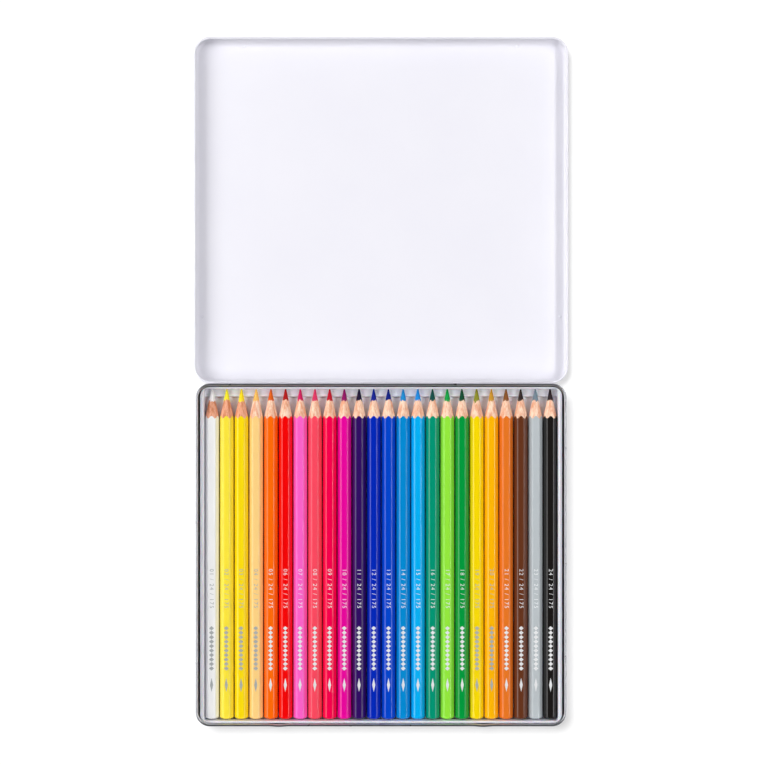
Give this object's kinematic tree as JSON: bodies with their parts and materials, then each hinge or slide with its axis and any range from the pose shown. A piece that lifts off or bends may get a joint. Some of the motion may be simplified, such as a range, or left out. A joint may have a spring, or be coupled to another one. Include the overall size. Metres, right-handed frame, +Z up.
{
  "type": "colored pencil tin",
  "caption": "Flat hinged metal tin lying open, its white lid folded back, with hexagonal colored pencils side by side in a moulded tray.",
  "frame": {"origin": "middle of the whole open tin, on the surface it lies on", "axes": "+X along the hinge, from the first pencil to the last; +Y from the pencils' blunt ends towards the opened lid; +Z up"},
  "size_m": [0.1992, 0.3656, 0.0126],
  "materials": {
    "tinplate": "bright bare tinplate",
    "white_lacquer": "satin white lacquer on tinplate",
    "white_plastic": "thermoformed white sheet, satin",
    "lacquer_01": "white gloss lacquer on the barrel, bare wood on the cone",
    "lead_01": "white waxy pigment core",
    "lacquer_02": "pale yellow gloss lacquer on the barrel, bare wood on the cone",
    "lead_02": "pale yellow waxy pigment core",
    "lacquer_03": "yellow gloss lacquer on the barrel, bare wood on the cone",
    "lead_03": "yellow waxy pigment core",
    "lacquer_04": "light orange gloss lacquer on the barrel, bare wood on the cone",
    "lead_04": "light orange waxy pigment core",
    "lacquer_05": "orange gloss lacquer on the barrel, bare wood on the cone",
    "lead_05": "orange waxy pigment core",
    "lacquer_06": "red gloss lacquer on the barrel, bare wood on the cone",
    "lead_06": "red waxy pigment core",
    "lacquer_07": "pink gloss lacquer on the barrel, bare wood on the cone",
    "lead_07": "pink waxy pigment core",
    "lacquer_08": "coral gloss lacquer on the barrel, bare wood on the cone",
    "lead_08": "coral waxy pigment core",
    "lacquer_09": "crimson gloss lacquer on the barrel, bare wood on the cone",
    "lead_09": "crimson waxy pigment core",
    "lacquer_10": "magenta gloss lacquer on the barrel, bare wood on the cone",
    "lead_10": "magenta waxy pigment core",
    "lacquer_11": "violet gloss lacquer on the barrel, bare wood on the cone",
    "lead_11": "violet waxy pigment core",
    "lacquer_12": "dark blue gloss lacquer on the barrel, bare wood on the cone",
    "lead_12": "dark blue waxy pigment core",
    "lacquer_13": "blue gloss lacquer on the barrel, bare wood on the cone",
    "lead_13": "blue waxy pigment core",
    "lacquer_14": "light blue gloss lacquer on the barrel, bare wood on the cone",
    "lead_14": "light blue waxy pigment core",
    "lacquer_15": "sky blue gloss lacquer on the barrel, bare wood on the cone",
    "lead_15": "sky blue waxy pigment core",
    "lacquer_16": "teal green gloss lacquer on the barrel, bare wood on the cone",
    "lead_16": "teal green waxy pigment core",
    "lacquer_17": "light green gloss lacquer on the barrel, bare wood on the cone",
    "lead_17": "light green waxy pigment core",
    "lacquer_18": "green gloss lacquer on the barrel, bare wood on the cone",
    "lead_18": "green waxy pigment core",
    "lacquer_19": "deep yellow gloss lacquer on the barrel, bare wood on the cone",
    "lead_19": "deep yellow waxy pigment core",
    "lacquer_20": "amber gloss lacquer on the barrel, bare wood on the cone",
    "lead_20": "amber waxy pigment core",
    "lacquer_21": "orange brown gloss lacquer on the barrel, bare wood on the cone",
    "lead_21": "orange brown waxy pigment core",
    "lacquer_22": "brown gloss lacquer on the barrel, bare wood on the cone",
    "lead_22": "brown waxy pigment core",
    "lacquer_23": "grey gloss lacquer on the barrel, bare wood on the cone",
    "lead_23": "grey waxy pigment core",
    "lacquer_24": "black gloss lacquer on the barrel, bare wood on the cone",
    "lead_24": "black waxy pigment core"
  },
  "bodies": {
    "base": {"tin_base": "tinplate", "tray": "white_plastic"},
    "lid": {"tin_lid": "white_lacquer"},
    "pencil_01": {"pencil_01_casing": "lacquer_01", "pencil_01_lead": "lead_01"},
    "pencil_02": {"pencil_02_casing": "lacquer_02", "pencil_02_lead": "lead_02"},
    "pencil_03": {"pencil_03_casing": "lacquer_03", "pencil_03_lead": "lead_03"},
    "pencil_04": {"pencil_04_casing": "lacquer_04", "pencil_04_lead": "lead_04"},
    "pencil_05": {"pencil_05_casing": "lacquer_05", "pencil_05_lead": "lead_05"},
    "pencil_06": {"pencil_06_casing": "lacquer_06", "pencil_06_lead": "lead_06"},
    "pencil_07": {"pencil_07_casing": "lacquer_07", "pencil_07_lead": "lead_07"},
    "pencil_08": {"pencil_08_casing": "lacquer_08", "pencil_08_lead": "lead_08"},
    "pencil_09": {"pencil_09_casing": "lacquer_09", "pencil_09_lead": "lead_09"},
    "pencil_10": {"pencil_10_casing": "lacquer_10", "pencil_10_lead": "lead_10"},
    "pencil_11": {"pencil_11_casing": "lacquer_11", "pencil_11_lead": "lead_11"},
    "pencil_12": {"pencil_12_casing": "lacquer_12", "pencil_12_lead": "lead_12"},
    "pencil_13": {"pencil_13_casing": "lacquer_13", "pencil_13_lead": "lead_13"},
    "pencil_14": {"pencil_14_casing": "lacquer_14", "pencil_14_lead": "lead_14"},
    "pencil_15": {"pencil_15_casing": "lacquer_15", "pencil_15_lead": "lead_15"},
    "pencil_16": {"pencil_16_casing": "lacquer_16", "pencil_16_lead": "lead_16"},
    "pencil_17": {"pencil_17_casing": "lacquer_17", "pencil_17_lead": "lead_17"},
    "pencil_18": {"pencil_18_casing": "lacquer_18", "pencil_18_lead": "lead_18"},
    "pencil_19": {"pencil_19_casing": "lacquer_19", "pencil_19_lead": "lead_19"},
    "pencil_20": {"pencil_20_casing": "lacquer_20", "pencil_20_lead": "lead_20"},
    "pencil_21": {"pencil_21_casing": "lacquer_21", "pencil_21_lead": "lead_21"},
    "pencil_22": {"pencil_22_casing": "lacquer_22", "pencil_22_lead": "lead_22"},
    "pencil_23": {"pencil_23_casing": "lacquer_23", "pencil_23_lead": "lead_23"},
    "pencil_24": {"pencil_24_casing": "lacquer_24", "pencil_24_lead": "lead_24"}
  },
  "joints": [
    {"name": "lid_hinge", "type": "hinge", "parent": "base", "child": "lid", "pos_m": [0, -0.00063, 0.00662], "axis": [1, 0, 0], "range_deg": [0, 180]},
    {"name": "pencil_01_lift", "type": "slide", "parent": "base", "child": "pencil_01", "axis": [0, 0, 1], "range_m": [0, 0.03]},
    {"name": "pencil_02_lift", "type": "slide", "parent": "base", "child": "pencil_02", "axis": [0, 0, 1], "range_m": [0, 0.03]},
    {"name": "pencil_03_lift", "type": "slide", "parent": "base", "child": "pencil_03", "axis": [0, 0, 1], "range_m": [0, 0.03]},
    {"name": "pencil_04_lift", "type": "slide", "parent": "base", "child": "pencil_04", "axis": [0, 0, 1], "range_m": [0, 0.03]},
    {"name": "pencil_05_lift", "type": "slide", "parent": "base", "child": "pencil_05", "axis": [0, 0, 1], "range_m": [0, 0.03]},
    {"name": "pencil_06_lift", "type": "slide", "parent": "base", "child": "pencil_06", "axis": [0, 0, 1], "range_m": [0, 0.03]},
    {"name": "pencil_07_lift", "type": "slide", "parent": "base", "child": "pencil_07", "axis": [0, 0, 1], "range_m": [0, 0.03]},
    {"name": "pencil_08_lift", "type": "slide", "parent": "base", "child": "pencil_08", "axis": [0, 0, 1], "range_m": [0, 0.03]},
    {"name": "pencil_09_lift", "type": "slide", "parent": "base", "child": "pencil_09", "axis": [0, 0, 1], "range_m": [0, 0.03]},
    {"name": "pencil_10_lift", "type": "slide", "parent": "base", "child": "pencil_10", "axis": [0, 0, 1], "range_m": [0, 0.03]},
    {"name": "pencil_11_lift", "type": "slide", "parent": "base", "child": "pencil_11", "axis": [0, 0, 1], "range_m": [0, 0.03]},
    {"name": "pencil_12_lift", "type": "slide", "parent": "base", "child": "pencil_12", "axis": [0, 0, 1], "range_m": [0, 0.03]},
    {"name": "pencil_13_lift", "type": "slide", "parent": "base", "child": "pencil_13", "axis": [0, 0, 1], "range_m": [0, 0.03]},
    {"name": "pencil_14_lift", "type": "slide", "parent": "base", "child": "pencil_14", "axis": [0, 0, 1], "range_m": [0, 0.03]},
    {"name": "pencil_15_lift", "type": "slide", "parent": "base", "child": "pencil_15", "axis": [0, 0, 1], "range_m": [0, 0.03]},
    {"name": "pencil_16_lift", "type": "slide", "parent": "base", "child": "pencil_16", "axis": [0, 0, 1], "range_m": [0, 0.03]},
    {"name": "pencil_17_lift", "type": "slide", "parent": "base", "child": "pencil_17", "axis": [0, 0, 1], "range_m": [0, 0.03]},
    {"name": "pencil_18_lift", "type": "slide", "parent": "base", "child": "pencil_18", "axis": [0, 0, 1], "range_m": [0, 0.03]},
    {"name": "pencil_19_lift", "type": "slide", "parent": "base", "child": "pencil_19", "axis": [0, 0, 1], "range_m": [0, 0.03]},
    {"name": "pencil_20_lift", "type": "slide", "parent": "base", "child": "pencil_20", "axis": [0, 0, 1], "range_m": [0, 0.03]},
    {"name": "pencil_21_lift", "type": "slide", "parent": "base", "child": "pencil_21", "axis": [0, 0, 1], "range_m": [0, 0.03]},
    {"name": "pencil_22_lift", "type": "slide", "parent": "base", "child": "pencil_22", "axis": [0, 0, 1], "range_m": [0, 0.03]},
    {"name": "pencil_23_lift", "type": "slide", "parent": "base", "child": "pencil_23", "axis": [0, 0, 1], "range_m": [0, 0.03]},
    {"name": "pencil_24_lift", "type": "slide", "parent": "base", "child": "pencil_24", "axis": [0, 0, 1], "range_m": [0, 0.03]}
  ]
}
